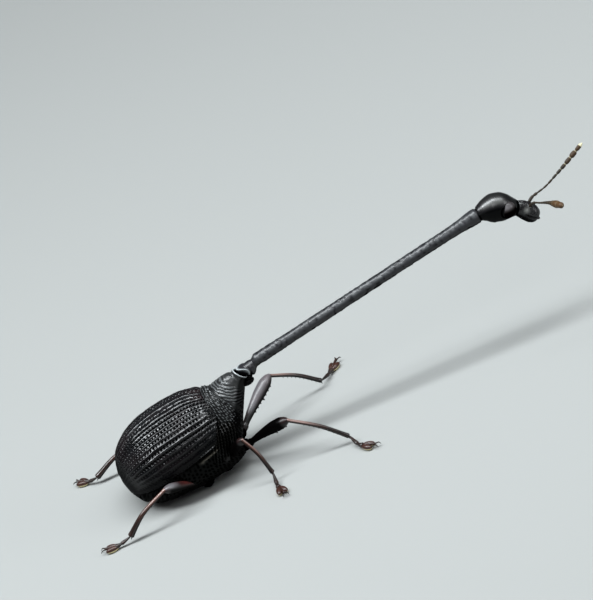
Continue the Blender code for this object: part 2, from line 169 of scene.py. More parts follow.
# Head bulb and snout: place, centre height, tilt, half width, half height.
HEAD = (
    (15.90, 7.35, 11, 0.30, 0.30),
    (16.14, 7.39, 11, 0.33, 0.33),
    (16.22, 7.42, 11, 0.39, 0.39),
    (16.40, 7.45, 6, 0.49, 0.49),
    (16.66, 7.46, -4, 0.63, 0.64),
    (17.00, 7.44, -12, 0.73, 0.75),
    (17.34, 7.35, -18, 0.73, 0.75),
    (17.66, 7.20, -22, 0.62, 0.66),
    (17.88, 7.07, -25, 0.51, 0.53),
    (18.02, 6.97, -28, 0.43, 0.45),
    (18.10, 6.91, -30, 0.38, 0.40),
    (18.20, 6.84, -33, 0.34, 0.36),
)
SNOUT = (
    (18.06, 6.94, -30, 0.30, 0.33),
    (18.16, 6.86, -33, 0.36, 0.41),
    (18.26, 6.78, -36, 0.38, 0.45),
    (18.52, 6.50, -46, 0.40, 0.49),
    (18.69, 6.28, -51, 0.43, 0.48),
    (18.82, 6.11, -54, 0.41, 0.41),
    (18.89, 6.02, -54, 0.33, 0.31),
    (18.92, 5.98, -54, 0.20, 0.18),
)
BULB_SEAM = (16.22, 7.4)
# The middle of the painted highlight on each side of the snout.
CHEEK = (18.51, 6.72)
SNOUT_GROOVE = (18.5, 6.42, 0.9)
JAW_REACH = ((-0.16, 0.17), (0.01, 0.19), (0.04, 0.13), (0.05, 0.04))
EYE_PLACE = (17.62, 7.22)
EYE_RADIUS = 0.37
EYE_BALL_RADIUS = 0.46
EYE_BASE = 0.38
EYE_REACH = 0.77

# Feelers: root on the snout, then turning points as offsets from the root.
FEELER_ROOT = (18.84, 0.26, 6.90)
FEELER_ROUTES = {
    LEFT: ((-0.08, -0.06, -0.12), (0.28, 0.10, 0.05), (0.93, 0.38, 0.08),
           (1.79, 0.72, 0.31), (3.68, 1.29, 1.10)),
    RIGHT: ((-0.10, -0.06, -0.10), (0.12, 0.25, 0.14), (0.40, 0.95, 0.37),
            (0.79, 1.90, 0.66), (1.28, 3.12, 0.86)),
}
# Each feeler joint: its share of the length, then its radius at its widest.
FEELER_JOINTS = (
    (0.11, 0.085), (0.06, 0.075), (0.09, 0.052), (0.09, 0.052), (0.08, 0.058), (0.08, 0.068),
    (0.08, 0.082), (0.08, 0.098), (0.10, 0.118), (0.10, 0.138), (0.13, 0.112),
)

# Legs: coxa, knee, shin end, tarsus bend and claw, each as place, distance out and height.
LEGS = {
    ("front", RIGHT): ((0.70, 0.66, 0.86), (3.14, 2.52, 2.33), (5.74, 3.20, 0.42),
                       (6.06, 4.04, 0.20), (6.80, 4.66, 0.17)),
    ("front", LEFT): ((0.70, 0.66, 0.86), (3.16, 2.52, 2.33), (5.56, 3.28, 0.42),
                      (6.12, 4.15, 0.20), (6.72, 5.12, 0.17)),
    ("middle", RIGHT): ((-0.55, 1.10, 0.46), (0.66, 3.00, 2.58), (1.46, 3.62, 0.48),
                        (1.43, 4.40, 0.20), (1.62, 5.52, 0.17)),
    ("middle", LEFT): ((-0.55, 1.10, 0.46), (-1.20, 3.30, 2.36), (-1.62, 3.94, 0.48),
                       (-1.78, 4.60, 0.20), (-1.98, 5.56, 0.17)),
    ("hind", RIGHT): ((-1.80, 1.74, 0.40), (-3.90, 3.34, 1.88), (-6.44, 3.63, 0.38),
                      (-7.16, 3.66, 0.20), (-7.90, 3.52, 0.17)),
    ("hind", LEFT): ((-2.05, 1.50, 0.42), (-4.05, 3.40, 1.45), (-7.12, 3.42, 0.38),
                     (-7.60, 3.72, 0.20), (-8.16, 4.14, 0.17)),
}
CLUB_RADIUS = {"front": 0.345, "middle": 0.27, "hind": 0.28}
# Thigh outline: share of its length, then its radius as a share of the club's.
THIGH_OUTLINE = ((0, 0.42), (0.08, 0.60), (0.13, 0.64), (0.17, 0.50), (0.35, 0.64), (0.55, 0.84),
                 (0.70, 0.98), (0.84, 1.0), (0.93, 0.82), (0.99, 0.56), (1.03, 0.24))
THIGH_ARCH = 0.10
SHIN_BOW = {"front": (0.10, 0.05, 0.12), "middle": (0.10, 0.05, 0.12), "hind": (-0.16, 0.05, 0.16)}
SHIN_RADIUS = 0.112
SHIN_END_SWELL = {"front": 1.15, "middle": 1.15, "hind": 1.5}
# Painted shade over the whole of each thigh, strongest on the near side.
THIGH_PAINTED_SHADE = {
    ("front", RIGHT): 0.96,
    ("front", LEFT): 0.0,
    ("middle", RIGHT): 0.95,
    ("middle", LEFT): 0.6,
    ("hind", RIGHT): 0.0,
    ("hind", LEFT): 0.5,
}
THIGH_RED = {"front": 0.0, "middle": 0.05, "hind": 0.36}
# A painted sheen on the upper side of two thighs, from a share of the thigh onwards.
THIGH_SHEEN = {("front", LEFT): 0.30, ("hind", RIGHT): 0.30}
THIGH_SHEEN_START = {"front": 0.25, "middle": 0.66, "hind": 0.66}
THIGH_TEETH = 7
# The first two foot joints: start and end on the foot's path, then their thin and broad radii.
TARSUS_JOINTS = ((0.0, 0.42, 0.055, 0.115), (0.38, 0.62, 0.070, 0.150))
LOBE_SIZE = (0.34, 0.15, 0.15)
LOBE_HEIGHT = 0.155
CLAW_LENGTH = 0.22

# The picture: its pixel size, the camera's slope and roll, and the point that its middle shows.
PICTURE_HEIGHT = 600
PIXEL = 0.0506
CAMERA_SLOPE = math.radians(28)
CAMERA_ROLL = math.radians(23.5)
PICTURE_MIDDLE = (6.035, 0.0, 7.087)
CAMERA_LENS = 300.0
CAMERA_SENSOR = 36.0

# Cells after which the random patterns repeat.
NOISE_LATTICE = 64
PIT_LATTICE = 128


def waist_in_frame():
    """The waist in the part's frame, found from the point midway between the two eyes."""
    low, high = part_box("eye_right")[0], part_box("eye_left")[1]
    middle = (low + high) / 2 / MM
    return np.array([middle.x - EYE_PLACE[0], middle.y, 0.0])


WAIST = waist_in_frame()


# Curves and noise

def eased(table, count):
    """Rows between the stations of a table, each column a cubic through its own stations.

    The slope at a station is the harmonic mean of the slopes on both sides, and level at a turn.
    """
    rows = np.array(table, float)
    steps = np.linalg.norm(np.diff(rows[:, :2], axis=0), axis=1)
    along = np.concatenate([[0], np.cumsum(steps)])
    slope = np.diff(rows, axis=0) / np.diff(along)[:, None]
    tangent = np.zeros_like(rows)
    tangent[0], tangent[-1] = slope[0], slope[-1]
    both = slope[:-1] * slope[1:] > 0
    mean = 2 * slope[:-1] * slope[1:] / np.where(both, slope[:-1] + slope[1:], 1)
    tangent[1:-1] = np.where(both, mean, 0)
    at = np.interp(np.linspace(0, len(rows) - 1, count), np.arange(len(rows)), along)
    cell = np.clip(np.searchsorted(along, at, side="right") - 1, 0, len(steps) - 1)
    width = steps[cell][:, None]
    t = (at - along[cell])[:, None] / width
    ease_in = (1 + 2 * t) * (1 - t) ** 2 * rows[cell] + t * (1 - t) ** 2 * width * tangent[cell]
    ease_out = t**2 * (3 - 2 * t) * rows[cell + 1] - t**2 * (1 - t) * width * tangent[cell + 1]
    return ease_in + ease_out


def evenly(rows, count):
    """The same curve with its rows at equal distances, measured in its first two columns."""
    steps = np.linalg.norm(np.diff(rows[:, :2], axis=0), axis=1)
    along = np.concatenate([[0], np.cumsum(steps)])
    at = np.linspace(0, along[-1], count)
    return np.stack([np.interp(at, along, column) for column in rows.T], axis=-1)


def outline_at(stations, share):
    """Values at shares of a length, eased between stations of share and value."""
    rows = eased([(at, 0, value) for at, value in stations], 400)
    return np.interp(share, rows[:, 0], rows[:, 2])


def route(points, count):
    """A smooth path through a few points, with its rows at equal distances in space."""
    rows = eased(points, 12 * count)
    along = np.concatenate([[0], np.cumsum(np.linalg.norm(np.diff(rows, axis=0), axis=1))])
    at = np.linspace(0, along[-1], count)
    return np.stack([np.interp(at, along, column) for column in rows.T], axis=-1)


def smooth(value, low, high):
    """Zero below low, one above high, and three t squared less two t cubed between them."""
    t = np.clip((value - low) / (high - low), 0, 1)
    return t * t * (3 - 2 * t)


def hump(value, centre, width):
    """A bell of height one: e to the power of minus the squared distance in widths."""
    return np.exp(-(((value - centre) / width) ** 2))


def cloudy(u, v, seed, around=NOISE_LATTICE):
    """Value noise from minus one to one: random heights on a unit lattice, eased between them.

    The lattice repeats after the around count in v, so that a ring of it closes.
    """
    table = np.random.default_rng(seed).uniform(-1, 1, (NOISE_LATTICE, NOISE_LATTICE))
    row, column = np.floor(u).astype(int), np.floor(v).astype(int)
    a, b = u - row, v - column
    a, b = a * a * (3 - 2 * a), b * b * (3 - 2 * b)

    def at(down, across):
        return table[(row + down) % NOISE_LATTICE, (column + across) % around % NOISE_LATTICE]

    near = at(0, 0) * (1 - b) + at(0, 1) * b
    far = at(1, 0) * (1 - b) + at(1, 1) * b
    return near * (1 - a) + far * a


def pitted(u, v, seed):
    """Round pits on a staggered unit lattice, each moved a little: one in a pit's middle."""
    row = np.round(v)
    shift = np.where(row % 2 == 0, 0.0, 0.5)
    column = np.round(u - shift)
    rng = np.random.default_rng(seed)
    jitter = rng.uniform(-0.22, 0.22, (2, PIT_LATTICE, PIT_LATTICE))
    size = rng.uniform(0.55, 1.0, (PIT_LATTICE, PIT_LATTICE))
    i, j = row.astype(int) % PIT_LATTICE, column.astype(int) % PIT_LATTICE
    du = u - shift - column - jitter[0, i, j]
    dv = v - row - jitter[1, i, j]
    return size[i, j] * np.exp(-(du**2 + dv**2) / 0.075)


# Grids

def normals(grid, ring):
    """Outward unit normals: the cross product of the grid's two directions, away from its middle."""
    down = np.gradient(grid, axis=0)
    if ring:
        across = np.roll(grid, -1, axis=1) - np.roll(grid, 1, axis=1)
    else:
        across = np.gradient(grid, axis=1)
    normal = np.cross(across, down)
    length = np.linalg.norm(normal, axis=-1, keepdims=True)
    normal = normal / np.maximum(length, 1e-12)
    outward = np.sum(normal * (grid - grid.mean(axis=1, keepdims=True)))
    return normal * (1 if outward > 0 else -1)


def raised(grid, height, ring=True):
    """The grid moved along its normals by a height for each point."""
    return grid + normals(grid, ring) * height[..., None]


def rounded(angle, power):
    """Cosine and sine of an angle, swollen towards a square by the power."""
    cosine, sine = np.cos(angle), np.sin(angle)
    swell = 2 / power
    return np.sign(cosine) * abs(cosine) ** swell, np.sign(sine) * abs(sine) ** swell


def cross_rings(rows, angle, power=2.0):
    """Rings across the body for rows of place, height, tilt in degrees, half width and half height."""
    wide, high = rounded(angle, power)
    tilt = np.radians(rows[:, 2])
    lift = rows[:, 4, None] * high
    x = rows[:, 0, None] - np.sin(tilt)[:, None] * lift
    z = rows[:, 1, None] + np.cos(tilt)[:, None] * lift
    return np.stack([x, rows[:, 3, None] * wide, z], axis=-1)


def ring_lengths(points):
    """The way along each ring from its first point: the sum of the distances between its points."""
    steps = np.linalg.norm(np.diff(points, axis=1, append=points[:, :1]), axis=-1)
    return np.cumsum(steps, axis=1)


def turns(count):
    return np.linspace(0, 2 * math.pi, count, endpoint=False)


def tube(path, radii, sides, flatten=1.0):
    """Rings square to a path, a radius for each of its points, made lower by the flatten factor."""
    path = np.array(path, float)
    radii = np.array(radii, float)
    along = np.gradient(path, axis=0)
    along /= np.linalg.norm(along, axis=1)[:, None]
    up = np.array([1.0, 0, 0]) if abs(along[:, 2]).max() > 0.9 else np.array([0, 0, 1.0])
    aside = np.cross(along, up)
    aside /= np.linalg.norm(aside, axis=1)[:, None]
    lift = np.cross(aside, along)
    angle = turns(sides)
    circle = np.cos(angle)[None, :, None] * aside[:, None, :]
    circle = circle + flatten * np.sin(angle)[None, :, None] * lift[:, None, :]
    return path[:, None, :] + radii[:, None, None] * circle


def blob(centre, along, half_length, half_width, half_height, rows=14, sides=20):
    """An egg with its long axis along a level direction: circles whose radius is the cosine of a rise."""
    along = np.array(along, float) / np.linalg.norm(along)
    rise = np.linspace(-0.5, 0.5, rows) * math.pi * 0.97
    path = np.array(centre) + np.sin(rise)[:, None] * half_length * along
    return tube(path, half_width * np.cos(rise), sides, half_height / half_width)


# Pieces

def shell(rings, **marks):
    """A closed surface over a grid of rings, each end drawn to a point in its middle, with its marks."""
    rows, columns = rings.shape[:2]
    points = np.concatenate([rings.reshape(-1, 3), rings[[0, -1]].mean(axis=1)])
    here = np.arange(columns)
    after = (here + 1) % columns
    base = (np.arange(rows - 1) * columns)[:, None]
    quads = np.stack([base + here, base + after, base + columns + after, base + columns + here], axis=-1)
    quads = quads.reshape(-1, 4)
    first, last, top = rows * columns, rows * columns + 1, (rows - 1) * columns
    start = np.stack([np.full(columns, first), after, here], axis=-1)
    end = np.stack([np.full(columns, last), top + here, top + after], axis=-1)
    triangles = np.concatenate([start, end])
    corners = np.concatenate([quads[:, :3], quads[:, [0, 2, 3]], triangles])
    a, b, c = points[corners].transpose(1, 0, 2)
    if np.sum(a * np.cross(b, c)) < 0:
        quads, triangles = quads[:, ::-1], triangles[:, ::-1]
    values = {}
    for name, mark in marks.items():
        mark = np.broadcast_to(mark, (rows, columns))
        values[name] = np.concatenate([mark.ravel(), mark[[0, -1]].mean(axis=1)])
    return points, quads, triangles, values


def make_piece(name, shells, finish, slot, *nodes):
    """One object from closed shells, riding on the body and standing for the nodes it replaces."""
    starts = np.cumsum([0] + [len(points) for points, *_ in shells])[:-1]
    points = np.concatenate([points for points, *_ in shells])
    faces = []
    for start, (_, quads, triangles, _) in zip(starts, shells):
        faces += (quads + start).tolist() + (triangles + start).tolist()
    mesh = bpy.data.meshes.new(name)
    mesh.from_pydata(((points + WAIST) * MM).tolist(), [], faces)
    for mark in sorted({mark for *_, values in shells for mark in values}):
        value = [values.get(mark, np.zeros(len(points))) for points, _, _, values in shells]
        layer = mesh.attributes.new(mark, "FLOAT", "POINT")
        layer.data.foreach_set("value", np.concatenate(value).astype(np.float32))
    mesh.shade_smooth()
    mesh.materials.append(finish)
    piece = bpy.data.objects.new(name, mesh)
    bpy.context.scene.collection.objects.link(piece)
    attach(piece, "root")
    if nodes:
        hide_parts(*nodes)
    return piece


# Finishes

def add(tree, kind, **values):
    node = tree.nodes.new(kind)
    for key, value in values.items():
        setattr(node, key, value)
    return node


def make_grain_group():
    """Fine grain, broad mottling and round pores, each from zero to one, at sizes given in millimetres."""
    group = bpy.data.node_groups.new("shell grain", "ShaderNodeTree")
    face = group.interface
    for name, value in (("Grain Size", 0.05), ("Mottle Size", 1.0), ("Pore Size", 0.1)):
        socket = face.new_socket(name=name, in_out="INPUT", socket_type="NodeSocketFloat")
        socket.default_value = value
    for name in ("Grain", "Mottle", "Pores"):
        face.new_socket(name=name, in_out="OUTPUT", socket_type="NodeSocketFloat")
    inside = add(group, "NodeGroupInput")
    outside = add(group, "NodeGroupOutput")
    place = add(group, "ShaderNodeTexCoord")
    for source, target, kind, output in (
        ("Grain Size", "Grain", "ShaderNodeTexNoise", "Fac"),
        ("Mottle Size", "Mottle", "ShaderNodeTexNoise", "Fac"),
        ("Pore Size", "Pores", "ShaderNodeTexVoronoi", "Distance"),
    ):
        scale = add(group, "ShaderNodeMath", operation="DIVIDE")
        scale.inputs[0].default_value = 1 / MM
        group.links.new(inside.outputs[source], scale.inputs[1])
        pattern = add(group, kind)
        group.links.new(place.outputs["Object"], pattern.inputs["Vector"])
        group.links.new(scale.outputs[0], pattern.inputs["Scale"])
        if kind == "ShaderNodeTexNoise":
            pattern.inputs["Detail"].default_value = 3.0
        group.links.new(pattern.outputs[output], outside.inputs[target])
    return group


GRAIN = make_grain_group()


def mixed(tree, factor, low, high):
    """A colour between two colours or sockets by a factor socket."""
    node = add(tree, "ShaderNodeMix", data_type="RGBA")
    tree.links.new(factor, node.inputs[0])
    for value, socket in ((low, node.inputs[6]), (high, node.inputs[7])):
        if isinstance(value, tuple):
            socket.default_value = (*value, 1)
        else:
            tree.links.new(value, socket)
    return node.outputs[2]


def ranged(tree, value, low, high, new_low, new_high):
    """A value drawn from one range to another, held at its ends."""
    node = add(tree, "ShaderNodeMapRange")
    tree.links.new(value, node.inputs[0])
    for socket, number in zip(node.inputs[1:5], (low, high, new_low, new_high)):
        socket.default_value = number
    return node.outputs[0]


def make_finish(name, dark, warm, pale, gloss, coat=0.2, grain=(0.04, 0.004), pores=None,
                mottle=0.8, shine=0.3):
    """A horny finish: dark to warm by mottling and tint, pale by the pale mark, and near black and
    dull under the painted shade mark, which paints shade into hollows and onto undersides.

    Gloss is the roughness on the smooth and on the dull places. Grain and pores are a size and a
    depth in millimetres. Shine is the strength of its mirror light.
    """
    material = bpy.data.materials.new(name)
    material.use_nodes = True
    tree = material.node_tree
    shader = tree.nodes["Principled BSDF"]
    pattern = add(tree, "ShaderNodeGroup", node_tree=GRAIN)
    pattern.inputs["Grain Size"].default_value = grain[0]
    pattern.inputs["Mottle Size"].default_value = mottle
    pattern.inputs["Pore Size"].default_value = pores[0] if pores else 0.1
    tint = add(tree, "ShaderNodeAttribute", attribute_name="tint")
    light = add(tree, "ShaderNodeAttribute", attribute_name="pale")
    hollow = add(tree, "ShaderNodeAttribute", attribute_name="hollow")
    patches = ranged(tree, pattern.outputs["Mottle"], 0.45, 0.75, 0.0, 0.3)
    total = add(tree, "ShaderNodeMath", operation="ADD", use_clamp=True)
    tree.links.new(patches, total.inputs[0])
    tree.links.new(tint.outputs["Fac"], total.inputs[1])
    colour = mixed(tree, total.outputs[0], dark, warm)
    # The pale mark paints highlights on most pieces; on the feet and feelers it is their own pale colour.
    colour = mixed(tree, light.outputs["Fac"], colour, pale)
    # Painted shade: the painted shade mark draws the colour to near black, and below it also dulls the
    # roughness and takes the coat away.
    black = tuple(0.2 * value for value in dark)
    colour = mixed(tree, hollow.outputs["Fac"], colour, black)
    tree.links.new(colour, shader.inputs["Base Color"])
    rough = ranged(tree, pattern.outputs["Grain"], 0.3, 0.7, *gloss)
    dull = ranged(tree, hollow.outputs["Fac"], 0.0, 1.0, 0.0, 0.4)
    both = add(tree, "ShaderNodeMath", operation="ADD", use_clamp=True)
    tree.links.new(rough, both.inputs[0])
    tree.links.new(dull, both.inputs[1])
    tree.links.new(both.outputs[0], shader.inputs["Roughness"])
    bump = add(tree, "ShaderNodeBump")
    bump.inputs["Distance"].default_value = grain[1] * MM
    tree.links.new(pattern.outputs["Grain"], bump.inputs["Height"])
    if pores:
        dents = add(tree, "ShaderNodeBump")
        dents.inputs["Distance"].default_value = pores[1] * MM
        depth = ranged(tree, pattern.outputs["Pores"], 0.05, 0.45, 0.0, 1.0)
        tree.links.new(depth, dents.inputs["Height"])
        tree.links.new(bump.outputs["Normal"], dents.inputs["Normal"])
        bump = dents
    tree.links.new(bump.outputs["Normal"], shader.inputs["Normal"])
    gleam = ranged(tree, hollow.outputs["Fac"], 0.0, 1.0, coat, 0.0)
    tree.links.new(gleam, shader.inputs["Coat Weight"])
    shader.inputs["Coat Roughness"].default_value = 0.8 * gloss[0]
    shader.inputs["Specular IOR Level"].default_value = shine
    return material


# The third colour of each finish is the pale one: on the body plate, chest, neck, head, eye, thigh and shin
# it is the colour of painted highlights, and on the foot and feeler it is their own pale colour.
CASE_FINISH = make_finish(
    "wing case", (0.002, 0.0024, 0.003), (0.018, 0.007, 0.008), (0.1, 0.1, 0.1),
    (0.20, 0.32), coat=1.0, grain=(0.03, 0.002), mottle=1.4, shine=0.0)
BODY_FINISH = make_finish(
    "body plate", (0.002, 0.002, 0.0018), (0.006, 0.004, 0.003), (0.1, 0.09, 0.07),
    (0.30, 0.46), coat=0.6, grain=(0.04, 0.006), pores=(0.16, 0.012), shine=0.0)
CHEST_FINISH = make_finish(
    "chest plate", (0.004, 0.0042, 0.0042), (0.010, 0.007, 0.006), (0.40, 0.43, 0.44),
    (0.38, 0.50), coat=1.0, grain=(0.03, 0.003), shine=0.02)
NECK_FINISH = make_finish(
    "neck", (0.008, 0.008, 0.010), (0.020, 0.015, 0.021), (0.40, 0.43, 0.44),
    (0.46, 0.62), coat=0.9, grain=(0.05, 0.008), pores=(0.13, 0.014), mottle=0.25, shine=0.0)
HEAD_FINISH = make_finish(
    "head", (0.003, 0.0033, 0.0036), (0.010, 0.006, 0.009), (0.2, 0.2, 0.19),
    (0.34, 0.42), coat=1.0, grain=(0.03, 0.001), shine=0.0)
EYE_FINISH = make_finish(
    "eye", (0.006, 0.0025, 0.0025), (0.018, 0.006, 0.005), (0.20, 0.19, 0.20),
    (0.46, 0.54), coat=1.0, grain=(0.03, 0.0005), pores=(0.026, 0.0012), mottle=0.3, shine=0.0)
THIGH_FINISH = make_finish(
    "thigh", (0.004, 0.0036, 0.0036), (0.060, 0.008, 0.006), (0.30, 0.29, 0.31),
    (0.44, 0.58), coat=1.0, grain=(0.03, 0.002), shine=0.0)
SHIN_FINISH = make_finish(
    "shin", (0.005, 0.0034, 0.0028), (0.045, 0.015, 0.009), (0.34, 0.21, 0.18),
    (0.24, 0.34), coat=1.0, grain=(0.03, 0.002), mottle=0.5, shine=0.1)
FOOT_FINISH = make_finish(
    "foot", (0.007, 0.005, 0.004), (0.045, 0.012, 0.006), (0.90, 0.78, 0.42),
    (0.34, 0.46), coat=0.3, grain=(0.03, 0.004), mottle=0.3)
CLAW_FINISH = make_finish(
    "claw", (0.010, 0.006, 0.004), (0.03, 0.012, 0.006), (0.3, 0.2, 0.1), (0.2, 0.3))
FEELER_FINISH = make_finish(
    "feeler", (0.014, 0.010, 0.005), (0.060, 0.028, 0.008), (0.62, 0.58, 0.38),
    (0.50, 0.62), coat=0.0, grain=(0.02, 0.003), mottle=0.4)


# Hind body

HIND_ROWS = eased(HIND_BODY, 400)


def outside_hind_body(points):
    """True outside the hind body: its cross sections are swollen ellipses, flatter below."""
    x, y, z = np.moveaxis(points, -1, 0)
    height, wide, up, down = (np.interp(x, HIND_ROWS[:, 0], HIND_ROWS[:, i]) for i in range(1, 5))
    lift = z - height
    power = np.where(lift > 0, DORSAL_POWER, VENTRAL_POWER)
    far = abs(y / wide) ** power + abs(lift / np.where(lift > 0, up, down)) ** power
    return (far > 1) | (x < HIND_ROWS[0, 0]) | (x > HIND_ROWS[-1, 0])


def reach_hind_body(start, direction):
    """The surface point on each ray from inside the hind body, found by halving the ray again and again."""
    near = np.zeros(direction.shape[:-1] + (1,))
    far = np.full_like(near, 4.5)
    for _ in range(26):
        middle = (near + far) / 2
        out = outside_hind_body(start + middle * direction)[..., None]
        far = np.where(out, middle, far)
        near = np.where(out, near, middle)
    return start + far * direction


def case_axis(x):
    """Height of the wing cases' axis at a place along the body."""
    (x0, z0), (x1, z1) = CASE_APEX, CASE_AXIS_FRONT
    return z0 + (x - x0) * (z1 - z0) / (x1 - x0)


def case_grid(side, rows, columns):
    """Points of one wing case, with each one's angle round the axis and its way along from the apex.

    Behind the hub, rays fan out from the axis like circles of latitude round the apex. Ahead of it
    they start further and further along the axis and turn upright towards the front edge.
    """
    apex = np.array([CASE_APEX[0], 0, CASE_APEX[1]])
    hub = np.array([CASE_HUB, 0, case_axis(CASE_HUB)])
    back = (apex - hub) / np.linalg.norm(apex - hub)
    up = np.array([back[2], 0, -back[0]])
    angle = np.linspace(CASE_MARGIN_ANGLE, SUTURE_ANGLE, columns)[None, :]
    share = np.linspace(0, 1, rows)[:, None]
    upright = 90.0 + math.degrees(math.atan2(-back[2], -back[0]))
    opening = np.radians(np.interp(share, (0, 0.5, 1), (1.0, 90.0, upright)))
    retreat = CASE_SIDE_RETREAT * (1 - smooth(angle, CASE_MARGIN_ANGLE, CASE_SHOULDER_ANGLE)) ** 1.5
    start_x = CASE_HUB + (CASE_FRONT - retreat - CASE_HUB) * np.clip(2 * share - 1, 0, 1)
    start = np.stack([start_x, 0 * start_x, case_axis(start_x)], axis=-1)
    turn = np.radians(angle)
    round_axis = np.stack([0 * turn, side * np.cos(turn), 0 * turn], axis=-1)
    round_axis = round_axis + np.sin(turn)[..., None] * up
    direction = np.cos(opening)[..., None] * back + np.sin(opening)[..., None] * round_axis
    points = reach_hind_body(start, direction)
    middle = points[:, columns // 2]
    along = np.concatenate([[0], np.cumsum(np.linalg.norm(np.diff(middle, axis=0), axis=1))])
    return points, np.broadcast_to(angle, (rows, columns)), np.broadcast_to(along[:, None], (rows, columns))


def make_wing_case(side):
    """One wing case: ridges between rows of round pits, which all run together at the rear apex.

    A line number grows by one from ridge to ridge. The distance to the nearest ridge, through a
    bell, gives the ridges, and the distance to the nearest pit, through a smooth step, the pits.
    """
    points, angle, along = case_grid(side, 400, 230)
    x = points[..., 0]
    from_suture = SUTURE_ANGLE - angle
    wander = 0.07 * cloudy(along * 0.9, angle / 9, 11 + side)
    wander = wander + 0.03 * cloudy(along * 4, angle / 4, 5 + side)
    line = np.interp(-angle, [-ridge for ridge in RIDGE_ANGLES], np.arange(len(RIDGE_ANGLES)))
    line = line + wander * smooth(from_suture, 0, 5)
    number = np.floor(line)
    across = line - number - 0.5
    stagger = np.random.default_rng(3).uniform(0, 1, 32)[number.astype(int) % 32]
    step = along / PIT_SPACING + stagger + 0.15 * cloudy(along * 3, number + 0.5, 17)
    lengthwise = step - np.round(step)

    # Pits fade at the apex, beside the suture, on the shoulder callus and low on the side.
    callus = hump(x, CALLUS[0], 0.30) * hump(angle, CALLUS[1], 9)
    present = smooth(along, 1.3, 3.4) * smooth(from_suture, 3.0, 8.0)
    present = present * (1 - 0.9 * callus) * (0.35 + 0.65 * smooth(angle, 22, 36))
    size = 0.9 + 0.2 * cloudy(along * 4, line * 2, 23)
    pit = (1 - smooth(np.hypot(across / 0.32, lengthwise / 0.38) / size, 0.35, 1.0)) * present
    ridge = hump(abs(across), 0.5, 0.21)
    lined = (0.30 + 0.70 * smooth(along, 0.5, 2.4)) * (0.55 + 0.45 * smooth(angle, 24, 38))
    lined = lined * smooth(from_suture, 0.5, 4)
    bead = 1 - 0.3 * abs(lengthwise) * present
    height = RIDGE_HEIGHT * ridge * lined * (1 - 0.7 * callus) * bead - PIT_DEPTH * pit
    height = height + 0.03 * hump(line, SHARP_RIDGE, 0.3) * smooth(along, 2.0, 3.2)
    height = height + 0.10 * callus + 0.006 * cloudy(along * 6, angle, 31)

    # The suture is a fine groove with a low ridge beside it, and the front edge and margin turn in.
    front = smooth(along[-1, 0] - along, 0.0, 0.10)
    height = height + 0.02 * hump(from_suture, 3.2, 1.2) - 0.05 * hump(from_suture, 0, 0.8)
    height = height - 0.09 * (1 - front) - 0.05 * hump(angle, CASE_MARGIN_ANGLE, 1.0)
    edge_line = hump(angle, CASE_MARGIN_ANGLE + 1.6, 0.9)
    edge_line = edge_line * smooth(x, -1.75, -1.5) * (1 - smooth(x, -0.80, -0.65))
    outer = raised(points, height + 0.05 * edge_line, ring=False)
    inner_x = np.clip(outer[:, :1, 0], CORNER_REAR, None)
    corner = np.stack([inner_x, 0 * inner_x + side * 0.02, case_axis(inner_x)], axis=-1)
    rings = np.concatenate([outer, corner], axis=1)

    # Painted shade: the pits, the furrows outside the open band, the low side and the rear are painted near
    # black and dull, and the edge lines are kept clear of it.
    shaded = np.maximum(0.8 * (1 - smooth(angle, 12, 28)), 0.88 * (1 - smooth(along, 1.5, 2.9)))
    open_band = smooth(angle, 43, 49) * (1 - smooth(angle, 63, 68))
    furrow = 0.75 * (1 - ridge) * (1 - open_band) * (1 - callus)
    furrow = furrow * smooth(along, 0.8, 3.0) * smooth(from_suture, 8, 14)
    hollow = np.maximum(np.maximum(1.3 * pit, furrow), shaded)
    hollow = np.clip(hollow - edge_line, 0, 1)
    tint = 0.5 * hump(x, -0.5, 0.5) * hump(angle, 80, 7)
    hollow, tint = (np.concatenate([mark, mark[:, -1:]], axis=1) for mark in (hollow, tint))
    name = SIDE_NAMES[side]
    case = shell(rings, hollow=hollow, tint=tint)
    make_piece(f"wing_case_{name}", [case], CASE_FINISH, "wing_case", f"elytron_{name}")


